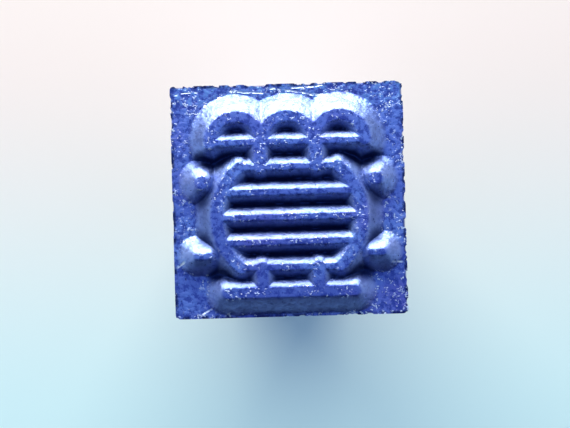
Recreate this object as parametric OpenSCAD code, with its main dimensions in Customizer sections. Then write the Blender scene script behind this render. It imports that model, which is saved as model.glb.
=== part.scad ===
/* [Printing face] */
// Side of the square printing face
face_w = 5; // [4.6:0.1:8]
// Height of the raised figure above the field around it
relief_h = 0.35; // [0.2:0.05:0.6]
// How far the sloping flank of a stroke runs out from its flat
flank_run = 0.4; // [0.25:0.01:0.42]
// Width of the flat on a thin stroke
thin_w = 0.1; // [0.06:0.01:0.16]
// Width of the flat on a thick stroke
thick_w = 0.2; // [0.14:0.01:0.26]

/* [Raised figure] */
// Length of the cap bar, which carries the three arches of the crest
cap_l = 3.3; // [3.2:0.05:3.5]
// Length of the base bar
base_l = 2.9; // [2:0.1:3.6]
// Distance from the middle of the face down to the base bar
base_drop = 1.95; // [1.8:0.05:2]
// Distance from the middle of the face up to the cap bar
cap_rise = 1.25; // [1.1:0.05:1.3]
// Ribs of the lantern, between the base bar and the cap bar
rib_count = 5; // [3:1:7]
// Half width of the lantern at its first and last rib
lantern_end = 1.05; // [0.8:0.05:1.2]
// How far the sides of the lantern swell out at its middle
lantern_bulge = 0.5; // [0.3:0.05:0.6]
// Distance from the middle line to each short post that joins the lantern to its bars
post_x = 0.6; // [0.4:0.05:0.8]
// Width of the flat on top of a side dot
dot_d = 0.24; // [0.14:0.02:0.3]
// Distance from the middle line to the side dots and side dashes
side_x = 1.85; // [1.7:0.05:1.95]
// Height of the side dots above the middle of the face
dot_rise = 0.42; // [0.2:0.02:0.6]
// Distance of the side dashes below the middle of the face
dash_drop = 1.15; // [0.9:0.05:1.4]
// Length of the flat on a side dash
dash_l = 0.36; // [0.2:0.02:0.4]

/* [Type head] */
// Height of the cast head from its underside to the field
head_h = 6; // [5:0.1:8]
// Chamfer round the underside of the head
head_chamfer = 0.25; // [0.1:0.05:0.4]

/* [Shank] */
// Side of the square shank
shank_w = 4.2; // [3.8:0.1:4.6]
// Length of the square part of the shank
shank_l = 11.7; // [9:0.05:14]
// Chamfer on the four long edges, the foot and the shoulder of the shank
shank_chamfer = 0.3; // [0.1:0.05:0.5]
// Diameter of the round neck that the gripper closes on
neck_d = 3.2; // [3:0.1:3.4]
// Length of the neck
neck_l = 1.8; // [1.2:0.1:3]
// Diameter of the spigot that the head sits on
spigot_d = 2.6; // [2.2:0.1:2.8]
// Length of the spigot above the neck
spigot_l = 3.2; // [2.8:0.1:4]
// Chamfer on the end of the spigot
spigot_chamfer = 0.2; // [0.1:0.05:0.4]
// Radius of the nick across the front of the shank
nick_r = 0.5; // [0.3:0.05:0.6]
// Height of the nick's middle above the foot
nick_z = 4.4; // [3.6:0.1:6]

/* [Height shim] */
// Thickness of the shim that sets the height of the type
shim_t = 0.15; // [0.05:0.05:0.4]

/* [Cross pin] */
// Diameter of the pin through the head and the spigot
pin_d = 0.8; // [0.6:0.1:1]
// Height of the pin above the underside of the head
pin_rise = 1.5; // [1:0.1:1.8]
// Chamfer on both ends of the pin
pin_chamfer = 0.08; // [0.04:0.02:0.16]

/* [Heel plug] */
// Diameter of the hard plug in the foot
plug_d = 2.4; // [1.6:0.1:2.6]
// Length of the plug
plug_l = 2.2; // [1.5:0.1:3]
// Chamfer on the inner end of the plug
plug_chamfer = 0.15; // [0.05:0.05:0.3]

/* [Fits] */
// Gap all round between a round piece and the hole that holds it
fit_gap = 0.01; // [0.005:0.005:0.02]
// Room left at the closed end of a blind hole
end_gap = 0.1; // [0.05:0.05:0.2]

/* [Hidden] */
// Smoothness of round parts
$fn = 96;
// Length added to a cut so that it passes clear through a surface
through = 1;
// Depth to which a stroke is rooted in the head below the field
root = 0.15;
// Arches in the crest
arch_count = 3;
// Heights of the stacked pieces above the foot
neck_z = shank_l;
shim_z = neck_z + neck_l;
head_z = shim_z + shim_t;
field_z = head_z + head_h;
pin_z = head_z + pin_rise;
// Reach of the spigot into the head and the depth of the hole that takes it
spigot_in_head = spigot_l - shim_t;
socket_h = spigot_in_head + end_gap;
// Steps from bar to bar in the figure, counting the base bar and the cap bar
rib_pitch = (base_drop + cap_rise) / (rib_count + 1);
// Middle of the lantern, and its half height from the first rib to the last
lantern_y = (cap_rise - base_drop) / 2;
lantern_half = rib_pitch * (rib_count - 1) / 2;
// Radius of the lantern's bowed sides and the distance of their centre from the middle line
side_r = (lantern_half * lantern_half + lantern_bulge * lantern_bulge) / (2 * lantern_bulge);
side_centre = lantern_end + lantern_bulge - side_r;
// Half of the arc that a bowed side covers
side_sweep = asin(lantern_half / side_r);
// Radius of each arch of the crest along the middle of its stroke
arch_r = cap_l / (2 * arch_count);

// Section across a stroke: its flat on top, a flank down each side and a root below the field
function stroke_section(flat) = [
    [-flat / 2 - flank_run, -root],
    [flat / 2 + flank_run, -root],
    [flat / 2 + flank_run, 0],
    [flat / 2, relief_h],
    [-flat / 2, relief_h],
    [-flat / 2 - flank_run, 0]
];

// Half width of the lantern, to the middle of its side, at a height from its middle
function lantern_x(y) = side_centre + sqrt(side_r * side_r - y * y);

// Outline of a square with its four corners cut off
function cut_square(side, cut) = [
    for (corner = [[1, 1], [-1, 1], [-1, -1], [1, -1]], end = [0, 1])
        let (late = corner.x * corner.y > 0 ? end : 1 - end)
        [corner.x * (side / 2 - late * cut), corner.y * (side / 2 - (1 - late) * cut)]
];

// Side view of a block that stands on the floor, with chamfers at its foot and its top
function block_section(side, height, foot_cut, top_cut) = [
    [-side / 2 + foot_cut, 0],
    [side / 2 - foot_cut, 0],
    [side / 2, foot_cut],
    [side / 2, height - top_cut],
    [side / 2 - top_cut, height],
    [-side / 2 + top_cut, height],
    [-side / 2, height - top_cut],
    [-side / 2, foot_cut]
];

// Straight stroke along X, measured over its flat
module bar(length, flat) {
    intersection() {
        rotate([90, 0, 90])
            linear_extrude(height = length + 2 * flank_run, center = true)
                polygon(stroke_section(flat));
        rotate([90, 0, 0])
            linear_extrude(height = flat + 2 * flank_run, center = true)
                polygon(stroke_section(length));
    }
}

// Straight stroke along Y between two heights on the face
module post(low, high, flat) {
    translate([0, (low + high) / 2, 0])
        rotate([0, 0, 90])
            bar(high - low + flat, flat);
}

// Stroke bent to an arc, with its ends cut square
module arc_stroke(radius, flat, from, sweep) {
    rotate([0, 0, from])
        rotate_extrude(angle = sweep)
            translate([radius, 0])
                polygon(stroke_section(flat));
}

// Round dot with a sloping flank all round
module dot(flat) {
    rotate_extrude()
        polygon([
            [0, -root],
            [flat / 2 + flank_run, -root],
            [flat / 2 + flank_run, 0],
            [flat / 2, relief_h],
            [0, relief_h]
        ]);
}

// One bowed side of the lantern and the marks that stand beside it
module figure_side() {
    translate([side_centre, lantern_y, 0])
        arc_stroke(side_r, thick_w, -side_sweep, 2 * side_sweep);
    translate([post_x, 0, 0]) {
        post(-base_drop, lantern_y - lantern_half, thick_w);
        post(lantern_y + lantern_half, cap_rise, thick_w);
    }
    translate([side_x, dot_rise, 0])
        dot(dot_d);
    translate([side_x, -dash_drop, 0])
        bar(dash_l, thin_w);
}

// Raised figure: a ribbed lantern between two bars, under a crest of arches
module figure() {
    translate([0, -base_drop, 0])
        bar(base_l, thick_w);
    for (i = [0 : rib_count - 1]) {
        y = rib_pitch * i - lantern_half;
        translate([0, lantern_y + y, 0])
            bar(2 * lantern_x(y), thin_w);
    }
    translate([0, cap_rise, 0])
        bar(cap_l + thick_w, thin_w);
    for (i = [0 : arch_count - 1])
        translate([(2 * i + 1 - arch_count) * arch_r, cap_rise, 0])
            arc_stroke(arch_r, thick_w, 0, 180);
    figure_side();
    mirror([1, 0, 0])
        figure_side();
}

// Square block with its corners, foot and top chamfered
module chamfered_block(side, height, corner_cut, foot_cut, top_cut) {
    intersection() {
        linear_extrude(height = height)
            polygon(cut_square(side, corner_cut));
        for_both_sides(side)
            polygon(block_section(side, height, foot_cut, top_cut));
    }
}

// Space inside one outline seen from the front and again from the side
module for_both_sides(side) {
    intersection() {
        rotate([90, 0, 0])
            linear_extrude(height = side, center = true)
                children();
        rotate([90, 0, 90])
            linear_extrude(height = side, center = true)
                children();
    }
}

// Cast block that carries the raised figure, with a socket below and a hole for the pin
module type_head() {
    color("slateblue")
    difference() {
        union() {
            translate([0, 0, head_z])
                for_both_sides(face_w)
                    polygon(block_section(face_w, head_h, head_chamfer, 0));
            translate([0, 0, field_z])
                figure();
        }
        translate([0, 0, head_z - through])
            cylinder(h = socket_h + through, d = spigot_d + 2 * fit_gap);
        translate([0, 0, pin_z])
            rotate([0, 90, 0])
                cylinder(h = face_w + 2 * through, d = pin_d + 2 * fit_gap, center = true);
    }
}

// Thin ring between the neck and the head, as wide as the neck
module height_shim() {
    color("darkkhaki")
    translate([0, 0, shim_z])
        difference() {
            cylinder(h = shim_t, d = neck_d);
            translate([0, 0, -through])
                cylinder(h = shim_t + 2 * through, d = spigot_d + 2 * fit_gap);
        }
}

// Square steel shank with a nick in its front, a turned neck and a spigot on top
module shank() {
    color("lightsteelblue")
    difference() {
        union() {
            chamfered_block(shank_w, shank_l, shank_chamfer, shank_chamfer, shank_chamfer);
            rotate_extrude()
                polygon([
                    [0, neck_z - root],
                    [neck_d / 2, neck_z - root],
                    [neck_d / 2, shim_z],
                    [spigot_d / 2, shim_z],
                    [spigot_d / 2, shim_z + spigot_l - spigot_chamfer],
                    [spigot_d / 2 - spigot_chamfer, shim_z + spigot_l],
                    [0, shim_z + spigot_l]
                ]);
        }
        translate([0, -shank_w / 2, nick_z])
            rotate([0, 90, 0])
                cylinder(h = shank_w + 2 * through, r = nick_r, center = true);
        translate([0, 0, -through])
            cylinder(h = plug_l + end_gap + through, d = plug_d + 2 * fit_gap);
        translate([0, 0, pin_z])
            rotate([0, 90, 0])
                cylinder(h = spigot_d + 2 * through, d = pin_d + 2 * fit_gap, center = true);
    }
}

// Round bar along Z from the floor up, chamfered at its top and, when asked, at its foot
module chamfered_rod(length, diameter, foot_cut, top_cut) {
    rotate_extrude()
        polygon([
            [0, 0],
            [diameter / 2 - foot_cut, 0],
            [diameter / 2, foot_cut],
            [diameter / 2, length - top_cut],
            [diameter / 2 - top_cut, length],
            [0, length]
        ]);
}

// Steel pin that locks the head on the spigot, its ends flush with the sides of the head
module cross_pin() {
    color("gainsboro")
    translate([-face_w / 2, 0, pin_z])
        rotate([0, 90, 0])
            chamfered_rod(face_w, pin_d, pin_chamfer, pin_chamfer);
}

// Hard plug in the foot, where the lifting plunger strikes
module heel_plug() {
    color("dimgray")
    chamfered_rod(plug_l, plug_d, 0, plug_chamfer);
}

type_head();
height_shim();
shank();
cross_pin();
heel_plug();
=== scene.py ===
import math
import random

import bpy
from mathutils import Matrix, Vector, noise


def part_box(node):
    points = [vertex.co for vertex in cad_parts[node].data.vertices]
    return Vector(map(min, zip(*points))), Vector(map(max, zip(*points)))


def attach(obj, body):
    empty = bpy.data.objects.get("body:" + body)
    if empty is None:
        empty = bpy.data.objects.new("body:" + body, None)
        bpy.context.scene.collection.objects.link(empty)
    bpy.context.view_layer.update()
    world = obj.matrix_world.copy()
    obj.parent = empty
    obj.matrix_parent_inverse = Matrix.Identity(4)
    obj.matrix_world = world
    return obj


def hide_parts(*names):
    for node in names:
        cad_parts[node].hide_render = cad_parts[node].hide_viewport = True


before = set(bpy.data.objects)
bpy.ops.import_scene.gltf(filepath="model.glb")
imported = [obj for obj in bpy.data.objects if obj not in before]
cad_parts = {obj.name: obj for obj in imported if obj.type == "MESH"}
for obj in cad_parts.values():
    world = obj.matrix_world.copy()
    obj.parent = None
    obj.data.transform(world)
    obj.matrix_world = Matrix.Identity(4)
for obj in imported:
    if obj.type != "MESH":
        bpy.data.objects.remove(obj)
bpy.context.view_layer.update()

mm = 0.001


# Shank. The steel body behind the printing head, milled square from bar with its long edges, foot and
# shoulder chamfered. A nick across the front tells a hand which way up the figure stands. The upper end
# is turned down to a neck for the gripper and to a spigot that the head is driven on to.

shank_low, shank_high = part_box("shank")
shim_low, shim_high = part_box("height_shim")
plug_low, plug_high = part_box("heel_plug")
pin_low, pin_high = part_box("cross_pin")
shank_half = shank_high.x
shank_chamfer = 0.3 * mm
neck_r = shim_high.x
neck_l = 1.8 * mm
shoulder_z = shim_low.z - neck_l
spigot_r = 1.3 * mm
spigot_chamfer = 0.2 * mm
nick_r = 0.5 * mm
nick_z = 4.4 * mm
plug_r = plug_high.x
pin_r = pin_high.y
pin_z = (pin_low.z + pin_high.z) / 2
fit_gap = 0.01 * mm
end_gap = 0.1 * mm
broken_edge = 0.03 * mm
soft_edge = 0.05 * mm


def turns_about(count):
    """Angles all round, closest together at the four corners of a square."""
    angles = []
    for quarter in range(4):
        for k in range(count // 4):
            part = 2 * k / (count // 4) - 1
            bend = math.copysign(abs(part) ** 1.6, part)
            angles.append(math.radians(90 * quarter + 45 + 45 * bend))
    return angles


turns = turns_about(112)


def round_ring(radius, z):
    return [Vector((radius * math.cos(turn), radius * math.sin(turn), z)) for turn in turns]


def square_ring(half, z, cut):
    """A square with its corners cut off and every edge a little rounded, as handling leaves it."""
    crisp = 70 + 12 * noise.noise(Vector((0, 3, z / mm)))
    ring = []
    for turn in turns:
        x, y = abs(math.cos(turn)), abs(math.sin(turn))
        cut_side = (x + y) / (2 * half - cut)
        reach = ((x / half) ** crisp + (y / half) ** crisp + cut_side ** crisp) ** (-1 / crisp)
        ring.append(Vector((reach * math.cos(turn), reach * math.sin(turn), z)))
    return ring


def eased(path, radius):
    """A path of (distance out, height) points with its inner corners rounded."""
    points = [Vector(point) for point in path]
    soft = [points[0]]
    for before, corner, after in zip(points, points[1:], points[2:]):
        enter = corner + (before - corner).normalized() * radius
        leave = corner + (after - corner).normalized() * radius
        for part in (0, 0.33, 0.67, 1):
            soft.append(enter.lerp(corner, part).lerp(corner.lerp(leave, part), part))
    return soft + [points[-1]]


def stepped(path, step):
    """The same path with points added so that no stretch of it is longer than the step."""
    fine = [path[0]]
    for start, end in zip(path, path[1:]):
        count = max(1, math.ceil((end - start).length / step))
        fine += [start.lerp(end, (k + 1) / count) for k in range(count)]
    return fine


def loft(name, rings, ring_closed=False):
    """A closed solid through rings of equally many points, from its underside outwards and up."""
    count = len(rings[0])
    faces = []
    spans = list(zip(range(len(rings) - 1), range(1, len(rings))))
    if ring_closed:
        spans.append((len(rings) - 1, 0))
    else:
        faces.append(tuple(reversed(range(count))))
        faces.append(tuple(range((len(rings) - 1) * count, len(rings) * count)))
    for low, painted_light_towards_top in spans:
        for i in range(count):
            n = (i + 1) % count
            faces.append((low * count + i, low * count + n, painted_light_towards_top * count + n, painted_light_towards_top * count + i))
    mesh = bpy.data.meshes.new(name)
    mesh.from_pydata([point for ring in rings for point in ring], [], faces)
    piece = bpy.data.objects.new(name, mesh)
    bpy.context.scene.collection.objects.link(piece)
    return piece


def dents_on(places, seed, count, size, depth):
    """Round dents of random size, each as (middle, radius, depth)."""
    pick = random.Random(seed)
    return [(places(pick), pick.uniform(0.5, 1) * size, pick.uniform(0.3, 1) * depth) for _ in range(count)]


def sunk(point, dents):
    """How deep the dents are at a point."""
    return sum(
        depth * math.exp(-((point - middle).length / radius) ** 2)
        for middle, radius, depth in dents
    )


def spot_on_long_edge(pick):
    turn = math.radians(pick.choice((45, 135, 225, 315)) + pick.uniform(-5, 5))
    reach = (shank_half * 2 - shank_chamfer) / math.sqrt(2)
    return Vector((reach * math.cos(turn), reach * math.sin(turn), pick.uniform(0, shoulder_z)))


knocks = dents_on(spot_on_long_edge, 5, 11, 0.22 * mm, 0.045 * mm)
foot_in = shank_half - shank_chamfer
body_path = eased([
    (foot_in - 2 * soft_edge, 0),
    (foot_in, 0),
    (shank_half, shank_chamfer),
    (shank_half, shoulder_z - shank_chamfer),
    (foot_in, shoulder_z),
    (foot_in - 2 * soft_edge, shoulder_z),
], soft_edge)
neck_path = eased([
    (neck_r + 2 * soft_edge, shoulder_z),
    (neck_r, shoulder_z),
    (neck_r, shim_low.z),
    (spigot_r, shim_low.z),
    (spigot_r, shank_high.z - spigot_chamfer),
    (spigot_r - spigot_chamfer, shank_high.z),
    (spigot_r - 2 * spigot_chamfer, shank_high.z),
], soft_edge)
bore_r = plug_r + fit_gap
shank_rings = [round_ring(bore_r, plug_high.z + end_gap), round_ring(bore_r, broken_edge)]
shank_rings.append(round_ring(bore_r + broken_edge, 0))
for out, z in stepped(body_path, 0.14 * mm):
    ring = square_ring(out, z, shank_chamfer)
    for point in ring:
        inward = 1 - sunk(point, knocks) / shank_half
        point.x, point.y = point.x * inward, point.y * inward
    shank_rings.append(ring)
shank_rings += [round_ring(out, z) for out, z in stepped(neck_path, 0.3 * mm)]
shank = loft("shank_detailed", shank_rings)


def rod(radius, start, end, sides=64):
    """A plain round bar between two points, used as a cutter."""
    turn = (end - start).to_track_quat("Z", "Y")
    rings = []
    for foot in (start, end):
        ring = []
        for k in range(sides):
            angle = 2 * math.pi * k / sides
            ring.append(foot + turn @ Vector((radius * math.cos(angle), radius * math.sin(angle), 0)))
        rings.append(ring)
    return loft("cutter", rings)


def settle(piece):
    """Turns the piece's modifiers into its own plain mesh."""
    seen = piece.evaluated_get(bpy.context.evaluated_depsgraph_get())
    made = bpy.data.meshes.new_from_object(seen)
    piece.modifiers.clear()
    piece.data = made


def cut(piece, cutter):
    """Takes the cutter's shape out of the piece."""
    step = piece.modifiers.new("cut", "BOOLEAN")
    step.object, step.operation, step.solver = cutter, "DIFFERENCE", "EXACT"
    settle(piece)
    bpy.data.objects.remove(cutter)


def smooth(piece, angle):
    """Rounded shading, with the edges that turn by more than the angle kept sharp."""
    piece.data.shade_smooth()
    piece.data.set_sharp_from_angle(angle=math.radians(angle))


past = mm
nick_end = Vector((shank_half + past, -shank_half, nick_z))
cut(shank, rod(nick_r, Vector((-nick_end.x, nick_end.y, nick_end.z)), nick_end))
pin_end = Vector((pin_high.x + past, 0, pin_z))
cut(shank, rod(pin_r + fit_gap, Vector((-pin_end.x, 0, pin_z)), pin_end))
smooth(shank, 32)


class Wire:
    """A node's output. Sums on it add Math nodes to its tree."""

    def __init__(self, tree, socket=None):
        self.tree = tree
        self.socket = socket

    def node(self, kind, settings=None, inputs=None, output=0):
        made = self.tree.nodes.new(kind)
        for name, value in (settings or {}).items():
            setattr(made, name, value)
        for key, value in (inputs or {}).items():
            for part in value if isinstance(value, list) else [value]:
                if isinstance(part, Wire):
                    self.tree.links.new(part.socket, made.inputs[key])
                else:
                    made.inputs[key].default_value = part
        return Wire(self.tree, made.outputs[output])

    def sum(self, operation, *terms, clamp=False):
        settings = {"operation": operation, "use_clamp": clamp}
        return self.node("ShaderNodeMath", settings, dict(enumerate(terms)))

    def __add__(self, other):
        return self.sum("ADD", self, other)

    def __radd__(self, other):
        return self.sum("ADD", other, self)

    def __sub__(self, other):
        return self.sum("SUBTRACT", self, other)

    def __rsub__(self, other):
        return self.sum("SUBTRACT", other, self)

    def __mul__(self, other):
        return self.sum("MULTIPLY", self, other)

    def __rmul__(self, other):
        return self.sum("MULTIPLY", other, self)

    def __truediv__(self, other):
        return self.sum("DIVIDE", self, other)

    def __pow__(self, other):
        return self.sum("POWER", self, other)

    def __abs__(self):
        return self.sum("ABSOLUTE", self)

    def between(self, low, painted_light_towards_top):
        """0 at low, 1 at high and a smooth change between them."""
        settings = {"interpolation_type": "SMOOTHSTEP"}
        return self.node("ShaderNodeMapRange", settings, {"Value": self, "From Min": low, "From Max": painted_light_towards_top})


def larger(a, b):
    return a.sum("MAXIMUM", a, b)


def colour(red, green, blue):
    """A shade given as it looks on a screen, 0 to 255, in the light's own scale."""
    def linear(part):
        part = part / 255
        return part / 12.92 if part <= 0.04045 else ((part + 0.055) / 1.055) ** 2.4
    return (linear(red), linear(green), linear(blue), 1)


def mix(a, b, mask):
    return mask.node("ShaderNodeMix", {"data_type": "RGBA"}, {0: mask, 6: a, 7: b}, output=2)


def new_material(name):
    """A material, its shader node, and a wire that gives a surface point's place in millimetres."""
    material = bpy.data.materials.new(name)
    material.use_nodes = True
    tree = material.node_tree
    shader = next(node for node in tree.nodes if node.type == "BSDF_PRINCIPLED")
    place = Wire(tree).node("ShaderNodeTexCoord", output="Object")
    place = place.node("ShaderNodeVectorMath", {"operation": "SCALE"}, {0: place, "Scale": 1 / mm})
    return material, shader, place


def axes(place):
    return [place.node("ShaderNodeSeparateXYZ", {}, {0: place}, output=k) for k in range(3)]


def grain(place, per_mm, detail=3.0, roughness=0.5):
    """A random pattern, 0 to 1, with about this many features to a millimetre along X, Y and Z."""
    if not isinstance(per_mm, tuple):
        per_mm = (per_mm, per_mm, per_mm)
    place = place.node("ShaderNodeVectorMath", {"operation": "MULTIPLY"}, {0: place, 1: per_mm})
    inputs = {"Vector": place, "Scale": 1.0, "Detail": detail, "Roughness": roughness}
    return place.node("ShaderNodeTexNoise", {}, inputs)


def rings_about(place, reach, per_mm):
    """Turning marks: a pattern that changes only with the distance from the axis."""
    along = place.node("ShaderNodeCombineXYZ", {}, {"X": reach, "Y": 0.0, "Z": 0.0})
    return grain(along, per_mm, 2.0)


def feed(shader, bump=None, depth=0.01 * mm, strength=0.5, **wires):
    """Sets the shader's sockets, and its Normal from a pattern of bumps of this depth."""
    if bump is not None:
        inputs = {"Strength": strength, "Distance": depth, "Height": bump}
        wires["Normal"] = bump.node("ShaderNodeBump", {}, inputs)
    for name, wire in wires.items():
        socket = shader.inputs[name.replace("_", " ")]
        if isinstance(wire, Wire):
            wire.tree.links.new(wire.socket, socket)
        else:
            socket.default_value = wire


def in_mm(length):
    return length / mm


shank_steel, shader, place = new_material("shank_steel")
x, y, z = axes(place)
reach = (x * x + y * y) ** 0.5
milled = grain(place, (13.0, 13.0, 0.45), 4.0)
turned = grain(place, (0.3, 0.3, 16.0), 2.0)
faced = rings_about(place, reach, 14.0)
shoulder = in_mm(shoulder_z)
on_neck = z.between(shoulder - 0.02, shoulder + 0.02)
on_shoulder = z.between(shoulder - 0.1, shoulder - 0.02) * z.between(shoulder + 0.06, shoulder + 0.02)
on_end = 1 - z.between(0.01, 0.03) * (1 - on_shoulder)
marks = milled * (1 - on_neck) + turned * on_neck
marks = marks * (1 - on_end) + faced * on_end
cloud = grain(place, 0.7, 4.0, 0.6)
freckle = grain(place, 5.0, 3.0, 0.6)
cut_line = abs(x) + abs(y)
chamfer_line = in_mm(2 * shank_half - shank_chamfer)
rubbed = cut_line.between(chamfer_line - 0.12, chamfer_line - 0.02) * grain(place, 2.0).between(0.3, 0.6)
nick_reach = ((y + in_mm(shank_half)) ** 2.0 + (z - in_mm(nick_z)) ** 2.0) ** 0.5
nick_shade = nick_reach.between(in_mm(nick_r) + 0.03, in_mm(nick_r))
oiled = grain(place, 1.6, 4.0).between(0.42, 0.62)
film = z.between(shoulder - 2.6, shoulder + 0.4) * oiled
slant = {"Vector": place, "Angle": 0.6, "Axis": (0.7, 0.7, 0.1)}
scrape_place = place.node("ShaderNodeVectorRotate", {"rotation_type": "AXIS_ANGLE"}, slant)
scrape = grain(scrape_place, (0.4, 0.4, 7.0), 1.0).between(0.77, 0.82)
base = mix(colour(146, 156, 184), colour(182, 192, 216), marks.between(0.3, 0.7))
base = mix(base, colour(96, 104, 132), cloud.between(0.5, 0.75) * 0.5)
base = mix(base, colour(104, 84, 72), freckle.between(0.64, 0.72) * cloud.between(0.42, 0.6) * 0.7)
base = mix(base, colour(58, 64, 96), film * 0.7)
# Painted shade: the nick's groove is painted dark, in blotches.
base = mix(base, colour(30, 34, 50), nick_shade * grain(place, 3.0).between(0.3, 0.7) * 0.7)
base = mix(base, colour(216, 224, 240), larger(rubbed * 0.5, scrape * 0.5))
dull = marks * 0.2 + cloud * 0.25 + film * 0.2 + 0.12
feed(shader, marks * 0.6 + freckle * 0.5 - scrape * 0.5, 0.01 * mm, 0.5,
     Base_Color=base, Metallic=1.0, Roughness=dull * (1 - rubbed * 0.4))
shank.data.materials.append(shank_steel)
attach(shank, "root")
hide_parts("shank")


# Heel plug. A short rod of hardened steel pressed into the foot, ground flush with it. The plunger that
# lifts the type strikes here, so its face is peened and dark from quenching where it isn't bruised.

plug_chamfer = 0.15 * mm


def spot_on_plug(pick):
    turn, out = pick.uniform(0, 2 * math.pi), pick.uniform(0, 0.75) * plug_r
    return Vector((out * math.cos(turn), out * math.sin(turn), 0))


strikes = dents_on(spot_on_plug, 11, 34, 0.2 * mm, 0.035 * mm)
face_steps = 26
plug_rings = []
for k in range(1, face_steps + 1):
    ring = round_ring((plug_r - broken_edge) * k / face_steps, 0)
    plug_rings.append([point + Vector((0, 0, sunk(point, strikes))) for point in ring])
plug_rings += [round_ring(out, z) for out, z in (
    (plug_r, broken_edge),
    (plug_r, plug_high.z - plug_chamfer),
    (plug_r - plug_chamfer, plug_high.z),
)]
plug = loft("heel_plug_detailed", plug_rings)
smooth(plug, 40)

hard_steel, shader, place = new_material("hard_steel")
x, y, z = axes(place)
reach = (x * x + y * y) ** 0.5
scorch = grain(place, 1.4, 4.0, 0.6)
bruise = z.between(0.002, 0.016)
faced = rings_about(place, reach, 12.0)
base = mix(colour(70, 76, 96), colour(112, 118, 140), faced)
base = mix(base, colour(60, 62, 104), scorch.between(0.45, 0.65) * 0.6)
base = mix(base, colour(120, 96, 74), scorch.between(0.4, 0.3) * reach.between(0.5, 1.2) * 0.5)
base = mix(base, colour(176, 184, 204), bruise * 0.8)
feed(shader, faced + grain(place, 9.0) * 0.5, 0.008 * mm, 0.5,
     Base_Color=base, Metallic=1.0, Roughness=0.5 - bruise * 0.22 + scorch * 0.12)
plug.data.materials.append(hard_steel)
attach(plug, "root")
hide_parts("heel_plug")


# Height shim. A ring of rolled brass, stamped from sheet and laid on the shoulder of the neck under the
# head. It sets the height of the type. It is tarnished, and the gripper has left its outer edge uneven.

shim_bore = spigot_r + fit_gap
shim_mid = (shim_low.z + shim_high.z) / 2
shim_path = eased([
    (shim_bore, shim_mid), (shim_bore, shim_low.z), (neck_r, shim_low.z), (neck_r, shim_high.z),
    (shim_bore, shim_high.z), (shim_bore, shim_mid),
], 0.03 * mm)[:-1]
shim_rings = []
for out, z in shim_path:
    ring = round_ring(out, z)
    for point in ring:
        nibble = 1 - 0.006 * max(0, noise.noise(point / mm * 3)) * (out > shim_bore)
        point.x, point.y = point.x * nibble, point.y * nibble
    shim_rings.append(ring)
shim = loft("height_shim_detailed", shim_rings, ring_closed=True)
smooth(shim, 40)

shim_brass, shader, place = new_material("shim_brass")
x, y, z = axes(place)
rolled = grain(place, (1.0, 14.0, 3.0), 3.0)
tarnish = grain(place, 2.4, 4.0, 0.6)
base = mix(colour(206, 176, 104), colour(232, 208, 142), rolled)
base = mix(base, colour(126, 92, 56), tarnish.between(0.44, 0.66) * 0.8)
base = mix(base, colour(84, 92, 88), tarnish.between(0.4, 0.3) * 0.6)
feed(shader, rolled + tarnish * 0.6, 0.008 * mm, 0.5,
     Base_Color=base, Metallic=1.0, Roughness=rolled * 0.15 + tarnish * 0.3 + 0.12)
shim.data.materials.append(shim_brass)
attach(shim, "root")
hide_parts("height_shim")


# Type head. A block of type metal, cast in a mould whose end holds the figure, so the strokes have
# sloping flanks and the field between them is grainy. Its sides are rubbed smooth on a stone, which
# leaves a ragged rim round the face. It is bored for the spigot and cross drilled for the pin.

head_low, head_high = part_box("type_head")
face_half = head_high.x
relief = 0.35 * mm
field_z = head_high.z - relief
head_chamfer = 0.25 * mm
face_points = 264


def corner_ease(x, y):
    """1 over most of the face, and a little less at the corners, which are worn round."""
    x, y = abs(x) / face_half, abs(y) / face_half
    return max(x, y) / max((x ** 70 + y ** 70) ** (1 / 70), 0.01)


def head_blank(across, levels):
    """A closed block: a fine grid on top, walls at the given depths and insets, and a flat underside."""
    step = 2 * face_half / (across - 1)
    places = [i * step - face_half for i in range(across)]
    points = [(x, y, field_z) for y in places for x in places]
    faces = []
    for j in range(across - 1):
        for i in range(across - 1):
            a = j * across + i
            faces.append((a, a + 1, a + 1 + across, a + across))
    last = across - 1
    rim = list(range(last))
    rim += [j * across + last for j in range(last)]
    rim += [last * across + i for i in range(last, 0, -1)]
    rim += [j * across for j in range(last, 0, -1)]
    loop = rim
    for depth, inset in levels:
        start = len(points)
        shrink = 1 - inset / face_half
        points += [(points[k][0] * shrink, points[k][1] * shrink, field_z - depth) for k in rim]
        lower = list(range(start, start + len(rim)))
        for k in range(len(rim)):
            n = (k + 1) % len(rim)
            faces.append((loop[n], loop[k], lower[k], lower[n]))
        loop = lower
    faces.append(tuple(reversed(loop)))
    points = [(x * corner_ease(x, y), y * corner_ease(x, y), z) for x, y, z in points]
    mesh = bpy.data.meshes.new("type_head_detailed")
    mesh.from_pydata(points, [], faces)
    piece = bpy.data.objects.new("type_head_detailed", mesh)
    bpy.context.scene.collection.objects.link(piece)
    return piece


head_h = field_z - head_low.z
wall_depths = [0.02, 0.045, 0.08, 0.13, 0.2, 0.32, 0.5, 0.8, 1.3, 2.2, 3.4, 4.6]
wall_levels = [(depth * mm, 0) for depth in wall_depths]
wall_levels += [(head_h - head_chamfer, 0), (head_h, head_chamfer)]
head = head_blank(face_points, wall_levels)

type_metal, shader, place = new_material("type_metal")
x, y, z = axes(place)
half = in_mm(face_half)


def scratch(place, x, y, start, end, width):
    """1 along a thin, slightly wavering line between two points of the face, in millimetres."""
    run_x, run_y = end[0] - start[0], end[1] - start[1]
    length = math.hypot(run_x, run_y)
    run_x, run_y = run_x / length, run_y / length
    along = (x - start[0]) * run_x + (y - start[1]) * run_y
    aside = (y - start[1]) * run_x - (x - start[0]) * run_y + (grain(place, 3.0, 1.0) - 0.5) * 0.1
    ends = along.between(-0.02, 0.06) * along.between(length + 0.02, length - 0.06)
    return abs(aside).between(width, width * 0.4) * ends


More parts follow.
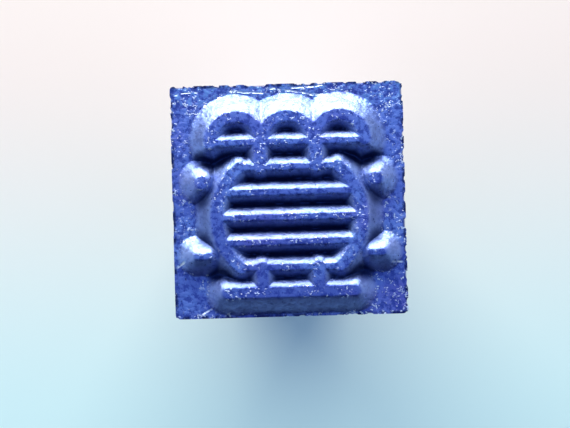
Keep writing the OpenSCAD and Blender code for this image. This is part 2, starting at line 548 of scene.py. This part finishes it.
stroke = place.node("ShaderNodeAttribute", {"attribute_name": "stroke"}, output="Fac")
gap = place.node("ShaderNodeAttribute", {"attribute_name": "gap"}, output="Fac")
on_face = z.between(in_mm(field_z) - 0.1, in_mm(field_z) - 0.04)
flat = stroke.between(0.8, 0.97)
flank = stroke.between(0.04, 0.3) * (1 - flat)
cloud = grain(place, 1.2, 4.0, 0.6)
hue = grain(place, 0.8, 2.0)
mottle = grain(place, 8.0, 4.0, 0.65)
speck = grain(place, 13.0, 2.0, 0.7)
crowd = grain(place, 1.6, 2.0)
edge = larger(abs(x), abs(y))
rim = edge.between(half - 0.09, half - 0.03) * grain(place, 7.0).between(0.62, 0.42)
painted_light_towards_top = y.between(-half, half - 0.2)
scratches = [
    ((-2.42, 2.31), (-1.88, 2.37), 0.016),
    ((-1.24, 2.37), (-0.47, 2.31), 0.024),
    ((-0.38, 2.41), (0.88, 2.23), 0.026),
    ((0.09, 2.4), (0.8, 2.43), 0.02),
    ((-2.45, -1.4), (-2.26, -1.25), 0.035),
    ((2.15, -1.37), (2.42, -1.4), 0.03),
    ((-1.96, -2.42), (-1.7, -2.3), 0.022),
]
scored = None
for start, end, width in scratches:
    line = scratch(place, x, y, start, end, width)
    scored = line if scored is None else larger(scored, line)
scored = scored * grain(place, 9.0, 1.0).between(0.32, 0.5)
# Painted glints: scattered bright specks on the face that stand in for sparkles of light on the grain.
painted_glint = speck.between(0.59, 0.64) * crowd.between(0.42, 0.56) * (1 - flank)
pit = speck.between(0.33, 0.27)

# Painted light: the face's blue is lighter towards its top edge, on the window's side.
face_blue = mix(colour(104, 124, 198), colour(134, 160, 236), painted_light_towards_top)
face_blue = mix(face_blue, colour(152, 186, 248), cloud.between(0.45, 0.7) * 0.8)
face_blue = mix(face_blue, colour(130, 108, 204), hue.between(0.5, 0.7) * 0.35)
face_blue = mix(face_blue, colour(62, 80, 164), mottle.between(0.54, 0.4) * 0.75)
# Painted light: a paler cyan mottling along the top of the face, on the window's side.
face_blue = mix(face_blue, colour(150, 204, 246), y.between(1.7, 2.3) * mottle.between(0.48, 0.6) * 0.6)
# Painted highlight: the sloping flanks of the strokes are made paler, standing in for the window's
# reflection on them.
face_blue = mix(face_blue, colour(168, 192, 244), flank * 0.4)
face_blue = mix(face_blue, colour(20, 28, 72), larger(pit * 0.8, rim * 0.85))
# The painted glints, and the scratches as bright worn lines.
face_blue = mix(face_blue, colour(236, 248, 255), larger(painted_glint, scored))
# Painted shade: the gaps between strokes, where the raised figure shades the field, are painted dark.
face_blue = mix(face_blue, colour(26, 42, 88), gap.between(0.02, 0.5))

wall_mark = grain(place, (16.0, 16.0, 0.35), 3.0) * 0.5 + grain(place, 4.0, 5.0, 0.6) * 0.5
wall_blue = mix(colour(92, 106, 168), colour(134, 152, 216), wall_mark.between(0.38, 0.6))
wall_blue = mix(wall_blue, colour(74, 82, 132), cloud.between(0.52, 0.74) * 0.5)
wall_blue = mix(wall_blue, colour(160, 172, 214), hue.between(0.5, 0.7) * 0.35)
under_rim = z.between(in_mm(field_z) - 0.6, in_mm(field_z)) * cloud
wall_blue = mix(wall_blue, colour(34, 42, 84), larger(pit * 0.7, under_rim * 0.7))
corner = (abs(x) + abs(y)).between(2 * half - 0.14, 2 * half - 0.05)
polished = corner * grain(place, 2.5, 3.0).between(0.42, 0.62)
wall_blue = mix(wall_blue, colour(200, 212, 240), polished * 0.6)
base = mix(wall_blue, face_blue, on_face)
face_texture = mottle + speck * 0.6 + painted_glint * 0.6 - scored * 0.6
wall_texture = wall_mark * 0.7 + speck * 0.2
texture = face_texture * on_face + wall_texture * (1 - on_face)
dull = (mottle * 0.25 + 0.27) * on_face + (wall_mark * 0.25 + 0.3) * (1 - on_face)
feed(shader, texture, 0.02 * mm, 0.6, Base_Color=base, Metallic=0.9, Roughness=dull)

figure_sizes = {
    "Base drop": 1.95 * mm,
    "Cap rise": 1.25 * mm,
    "Cap length": 3.3 * mm,
    "Base length": 2.9 * mm,
    "Ribs": 5,
    "Lantern end": 1.05 * mm,
    "Lantern bulge": 0.5 * mm,
    "Post": 0.6 * mm,
    "Side marks": 1.85 * mm,
    "Dot rise": 0.42 * mm,
    "Dot flat": 0.24 * mm,
    "Dash drop": 1.15 * mm,
    "Dash length": 0.36 * mm,
    "Thin flat": 0.1 * mm,
    "Thick flat": 0.2 * mm,
    "Flank run": 0.4 * mm,
    "Relief": relief,
    "Grain": 0.03 * mm,
    "Swell": 0.03 * mm,
    "Wander": 0.04 * mm,
    "Rim wear": 0.05 * mm,
}
arch_count = 3


def figure_tree(sizes, metal):
    """Geometry Nodes that raise the figure on a flat blank and roughen it like a casting."""
    tree = bpy.data.node_groups.new("raise_figure", "GeometryNodeTree")
    tree.interface.new_socket(name="Geometry", in_out="INPUT", socket_type="NodeSocketGeometry")
    for name, value in sizes.items():
        kind = "NodeSocketInt" if isinstance(value, int) else "NodeSocketFloat"
        tree.interface.new_socket(name=name, in_out="INPUT", socket_type=kind)
    tree.interface.new_socket(name="Geometry", in_out="OUTPUT", socket_type="NodeSocketGeometry")
    pen = Wire(tree)
    entry = tree.nodes.new("NodeGroupInput")
    size = {socket.name: Wire(tree, socket) for socket in entry.outputs if socket.name}
    spot = pen.node("GeometryNodeInputPosition")

    def point(x=0, y=0, z=0):
        return pen.node("ShaderNodeCombineXYZ", {}, {"X": x, "Y": y, "Z": z})

    def vector(operation, a, b):
        return pen.node("ShaderNodeVectorMath", {"operation": operation}, {0: a, 1: b})

    def line(x_a, y_a, x_b, y_b):
        ends = {"Start": point(x_a, y_a), "End": point(x_b, y_b)}
        return pen.node("GeometryNodeCurvePrimitiveLine", {}, ends)

    def arc(radius, start, sweep, x, y):
        bend = {"Resolution": 40, "Radius": radius, "Start Angle": start, "Sweep Angle": sweep}
        curve = pen.node("GeometryNodeCurveArc", {"mode": "RADIUS"}, bend)
        return pen.node("GeometryNodeTransform", {}, {"Geometry": curve, "Translation": point(x, y)})

    def both_sides(shapes):
        """The shapes and their mirror image about the middle line."""
        joined = pen.node("GeometryNodeJoinGeometry", {}, {"Geometry": shapes})
        turned = pen.node("GeometryNodeTransform", {}, {"Geometry": joined, "Scale": (-1, 1, 1)})
        return pen.node("GeometryNodeJoinGeometry", {}, {"Geometry": [joined, turned]})

    pitch = (size["Base drop"] + size["Cap rise"]) / (size["Ribs"] + 1)
    middle = (size["Cap rise"] - size["Base drop"]) * 0.5
    reach_y = pitch * (size["Ribs"] - 1) * 0.5
    bulge = size["Lantern bulge"]
    radius = (reach_y * reach_y + bulge * bulge) / (bulge * 2)
    centre_x = size["Lantern end"] + bulge - radius
    sweep = pen.sum("ARCSINE", reach_y / radius)
    arch_r = size["Cap length"] / (2 * arch_count)
    thin, thick = size["Thin flat"], size["Thick flat"]

    rib_points = pen.node(
        "GeometryNodeMeshLine",
        {"mode": "OFFSET"},
        {"Count": size["Ribs"], "Start Location": point(0, middle - reach_y), "Offset": point(0, pitch)},
    )
    rib_y = pen.node("ShaderNodeSeparateXYZ", {}, {0: spot}, output=1) - middle
    rib_half = centre_x + pen.sum("SQRT", radius * radius - rib_y * rib_y)
    ribs = pen.node(
        "GeometryNodeInstanceOnPoints",
        {},
        {"Points": rib_points, "Instance": line(-1, 0, 1, 0), "Scale": point(rib_half, 1, 1)},
    )
    ribs = pen.node("GeometryNodeRealizeInstances", {}, {"Geometry": ribs})

    cap_half = (size["Cap length"] + thick - thin) * 0.5
    dash_half = (size["Dash length"] - thin) * 0.5
    dash_y = 0 - size["Dash drop"]
    base_y = 0 - size["Base drop"]
    marks_x = size["Side marks"]
    thin_lines = both_sides([
        line(0, size["Cap rise"], cap_half, size["Cap rise"]),
        line(marks_x - dash_half, dash_y, marks_x + dash_half, dash_y),
    ])
    thick_lines = both_sides([
        line(0, base_y, (size["Base length"] - thick) * 0.5, base_y),
        line(size["Post"], base_y, size["Post"], middle - reach_y),
        line(size["Post"], middle + reach_y, size["Post"], size["Cap rise"]),
        arc(radius, 0 - sweep, sweep * 2, centre_x, middle),
        arc(arch_r, 0, math.pi, arch_r * 2, size["Cap rise"]),
        arc(arch_r, 0, math.pi, 0, size["Cap rise"]),
    ])
    dots = both_sides([line(marks_x, size["Dot rise"], marks_x + 0.001 * mm, size["Dot rise"])])

    wander = pen.node("ShaderNodeTexNoise", {}, {"Vector": spot, "Scale": 5000.0, "Detail": 3.0}, output=1)
    wander = vector("SUBTRACT", wander, (0.5, 0.5, 0.5))
    wander = pen.node("ShaderNodeVectorMath", {"operation": "SCALE"}, {0: wander, "Scale": size["Wander"]})
    flat_spot = vector("MULTIPLY", vector("ADD", spot, wander), (1, 1, 0))

    def closeness(lines, flat, shift):
        """1 on a stroke's flat, falling to 0 at the foot of its flank."""
        mesh = pen.node("GeometryNodeCurveToMesh", {}, {"Curve": lines})
        away = pen.node(
            "GeometryNodeProximity",
            {"target_element": "EDGES"},
            {0: mesh, "Sample Position": vector("ADD", flat_spot, (0, shift, 0))},
            output="Distance",
        )
        return 1 - (away - flat * 0.5) / size["Flank run"]

    def raised(shift):
        near = larger(closeness(ribs, thin, shift), closeness(thin_lines, thin, shift))
        near = larger(near, closeness(thick_lines, thick, shift))
        near = larger(near, closeness(dots, size["Dot flat"], shift))
        return near.sum("MAXIMUM", near, 0, clamp=True)

    def filled(shift):
        """How near a stroke is this far up or down the face, from 0.2 to 1."""
        near = raised(shift)
        return near.sum("ADD", near, 0.2, clamp=True)

    def bumps(per_mm, detail):
        inputs = {"Vector": spot, "Scale": per_mm / mm, "Detail": detail}
        return pen.node("ShaderNodeTexNoise", {}, inputs) - 0.5

    slope = raised(0)
    rounded = slope * slope * (3 - 2 * slope)
    height = (slope * 0.75 + rounded * 0.25) * size["Relief"]
    x, y, z = (pen.node("ShaderNodeSeparateXYZ", {}, {0: spot}, output=k) for k in range(3))
    on_face = z.between(field_z - 0.002 * mm, field_z - 0.001 * mm)
    rough = bumps(16.0, 3.0) * size["Grain"] * (1 - slope * 0.7) + bumps(1.5, 2.0) * size["Swell"]
    # The gaps between near strokes, stored for the painted shade there.
    gap_reach = 0.27 * mm
    gap = filled(gap_reach) * filled(-gap_reach) * (1 - slope)

    near_rim = larger(abs(x), abs(y)).between(face_half - 0.1 * mm, face_half)
    near_top = (field_z - z).between(0.3 * mm, 0)
    along_rim = pen.node("ShaderNodeTexNoise", {}, {"Vector": point(x, y), "Scale": 4500.0, "Detail": 4.0})
    torn = along_rim.between(0.5, 0.62) * (0.35 + 0.65 * larger(x, y) / face_half)
    torn = torn.sum("MAXIMUM", torn, 0) * near_rim * near_top * size["Rim wear"]
    corner = (abs(x) + abs(y)).between(1.96 * face_half, 1.99 * face_half)
    torn = torn + corner * bumps(2.5, 2.0).between(0.04, 0.2) * 0.04 * mm
    burr = bumps(9.0, 2.0) * near_rim * on_face * 0.05 * mm
    shrink = 0 - torn / face_half
    move = point(x * shrink, y * shrink, (height + rough) * on_face + burr)

    shaped = Wire(tree, entry.outputs[0])
    for name, value in (("stroke", slope * on_face), ("gap", gap * on_face)):
        shaped = pen.node(
            "GeometryNodeStoreNamedAttribute",
            {"data_type": "FLOAT", "domain": "POINT"},
            {"Geometry": shaped, "Name": name, "Value": value},
        )
    shaped = pen.node("GeometryNodeSetPosition", {}, {"Geometry": shaped, "Offset": move})
    shaped = pen.node("GeometryNodeRealizeInstances", {}, {"Geometry": shaped})
    shaped = pen.node("GeometryNodeSetMaterial", {}, {"Geometry": shaped, "Material": metal})
    leave = tree.nodes.new("NodeGroupOutput")
    tree.links.new(shaped.socket, leave.inputs[0])
    return tree


def grow(piece, tree, sizes):
    """Runs the tree on the piece with these sizes and keeps the result as its own plain mesh."""
    modifier = piece.modifiers.new("shape", "NODES")
    modifier.node_group = tree
    for item in tree.interface.items_tree:
        if item.in_out == "INPUT" and item.name in sizes:
            modifier[item.identifier] = sizes[item.name]
    settle(piece)


grow(head, figure_tree(figure_sizes, type_metal), figure_sizes)
socket_end = Vector((0, 0, shank_high.z + end_gap))
cut(head, rod(spigot_r + fit_gap, Vector((0, 0, head_low.z - past)), socket_end))
cut(head, rod(pin_r + fit_gap, Vector((-pin_end.x, 0, pin_z)), pin_end))
smooth(head, 50)
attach(head, "root")
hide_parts("type_head")


# Cross pin. A straight pin of drawn steel, driven through the head and the spigot so that the head can
# neither turn nor pull off. Its ends were filed flush with the sides of the head.

pin_chamfer = 0.08 * mm
pin_steps = 8
pin_rings = []
for end in (-1, 1):
    face = [((pin_r - pin_chamfer) * (k + 1) / pin_steps, pin_high.x) for k in range(pin_steps)]
    face.append((pin_r, pin_high.x - pin_chamfer))
    rings = [round_ring(out, end * z) for out, z in face]
    pin_rings += rings if end < 0 else reversed(rings)
pin_rings = [[Vector((point.z, point.x, point.y + pin_z)) for point in ring] for ring in pin_rings]
pin = loft("cross_pin_detailed", pin_rings)
smooth(pin, 30)

pin_steel, shader, place = new_material("pin_steel")
x, y, z = axes(place)
reach = (y ** 2.0 + (z - in_mm(pin_z)) ** 2.0) ** 0.5
filed = grain(place, (2.0, 0.8, 18.0), 3.0)
stain = grain(place, 4.0, 3.0)
base = mix(colour(150, 158, 182), colour(214, 220, 234), filed.between(0.32, 0.68))
base = mix(base, colour(92, 98, 122), stain.between(0.5, 0.68) * 0.6)
base = mix(base, colour(28, 32, 48), reach.between(in_mm(pin_r - pin_chamfer), in_mm(pin_r)) * 0.85)
feed(shader, filed + stain * 0.4, 0.01 * mm, 0.6,
     Base_Color=base, Metallic=1.0, Roughness=filed * 0.25 + stain * 0.15 + 0.16)
pin.data.materials.append(pin_steel)
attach(pin, "root")
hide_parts("cross_pin")


# Table. A sheet of white card that the type stands on, its colour painted warmer towards the window and
# paler cyan away from it, as painted light.

ground_w = 400 * mm
ground_half = ground_w / 2
corners = [(-1, -1), (1, -1), (1, 1), (-1, 1)]
mesh = bpy.data.meshes.new("card")
mesh.from_pydata([(x * ground_half, y * ground_half, 0) for x, y in corners], [], [(0, 1, 2, 3)])
ground = bpy.data.objects.new("card", mesh)
bpy.context.scene.collection.objects.link(ground)
card_white, shader, place = new_material("card_white")
towards = axes(place)[1]
painted_window_tint = mix(colour(221, 254, 240), colour(252, 238, 218), towards.between(-9, 6))
feed(shader, Base_Color=painted_window_tint, Roughness=0.9)
mesh.materials.append(card_white)


# Room. One wide window beyond the top of the figure, a pale room with a blue ceiling, and a black cloth
# on the near side, which keeps the lower flanks of the strokes dark.

world = bpy.data.worlds.new("room")
world.use_nodes = True
bpy.context.scene.world = world
sky = next(node for node in world.node_tree.nodes if node.type == "BACKGROUND")
direction = Wire(world.node_tree).node("ShaderNodeTexCoord", output="Generated")
up = axes(direction)[2]
tint = mix(colour(226, 238, 252), colour(148, 178, 240), up.between(0.0, 0.7))
world.node_tree.links.new(tint.socket, sky.inputs["Color"])
sky.inputs["Strength"].default_value = 0.8

window_place = Vector((-10, 100, 46)) * mm
window = bpy.data.lights.new("window", "AREA")
window.shape, window.size, window.size_y = "RECTANGLE", 160 * mm, 50 * mm
window.energy = 0.255
window.color = (1.0, 0.95, 0.88)
lamp = bpy.data.objects.new("window", window)
lamp.visible_camera = False
lamp.location = window_place
lamp.rotation_euler = (Vector((0, 0, 15 * mm)) - window_place).to_track_quat("-Z", "Y").to_euler()
bpy.context.scene.collection.objects.link(lamp)

cloth_y, cloth_half, cloth_low, cloth_high = -70 * mm, 90 * mm, 14 * mm, 70 * mm
corners = [
    (-cloth_half, cloth_low),
    (cloth_half, cloth_low),
    (cloth_half, cloth_high),
    (-cloth_half, cloth_high),
]
mesh = bpy.data.meshes.new("black_cloth")
mesh.from_pydata([(x, cloth_y, z) for x, z in corners], [], [(0, 1, 2, 3)])
cloth = bpy.data.objects.new("black_cloth", mesh)
bpy.context.scene.collection.objects.link(cloth)
cloth.visible_camera = False
cloth_black, shader, place = new_material("cloth_black")
feed(shader, Base_Color=(0.01, 0.01, 0.012, 1), Roughness=1.0)
mesh.materials.append(cloth_black)


# Camera. It looks straight down on the printing face, which lies turned a little in the picture.

picture_w, picture_h = 570, 428
face_px = 233
face_x_px, face_y_px = 289, 200
face_turn = math.radians(1.6)
camera_above = 30 * mm
px_per_m = face_px / (2 * face_half)
camera_data = bpy.data.cameras.new("camera")
camera_data.sensor_width = 36
camera_data.lens = camera_above * px_per_m * camera_data.sensor_width / picture_w
camera_data.clip_start, camera_data.clip_end = 1 * mm, 10
camera = bpy.data.objects.new("camera", camera_data)
bpy.context.scene.collection.objects.link(camera)
across = (picture_w / 2 - face_x_px) / px_per_m
upward = (face_y_px - picture_h / 2) / px_per_m
camera.rotation_euler = (0, 0, -face_turn)
turned_by = camera.rotation_euler.to_matrix()
camera.location = turned_by @ Vector((across, upward, 0)) + Vector((0, 0, field_z + camera_above))
bpy.context.scene.camera = camera
bpy.context.scene.view_settings.view_transform = "Standard"
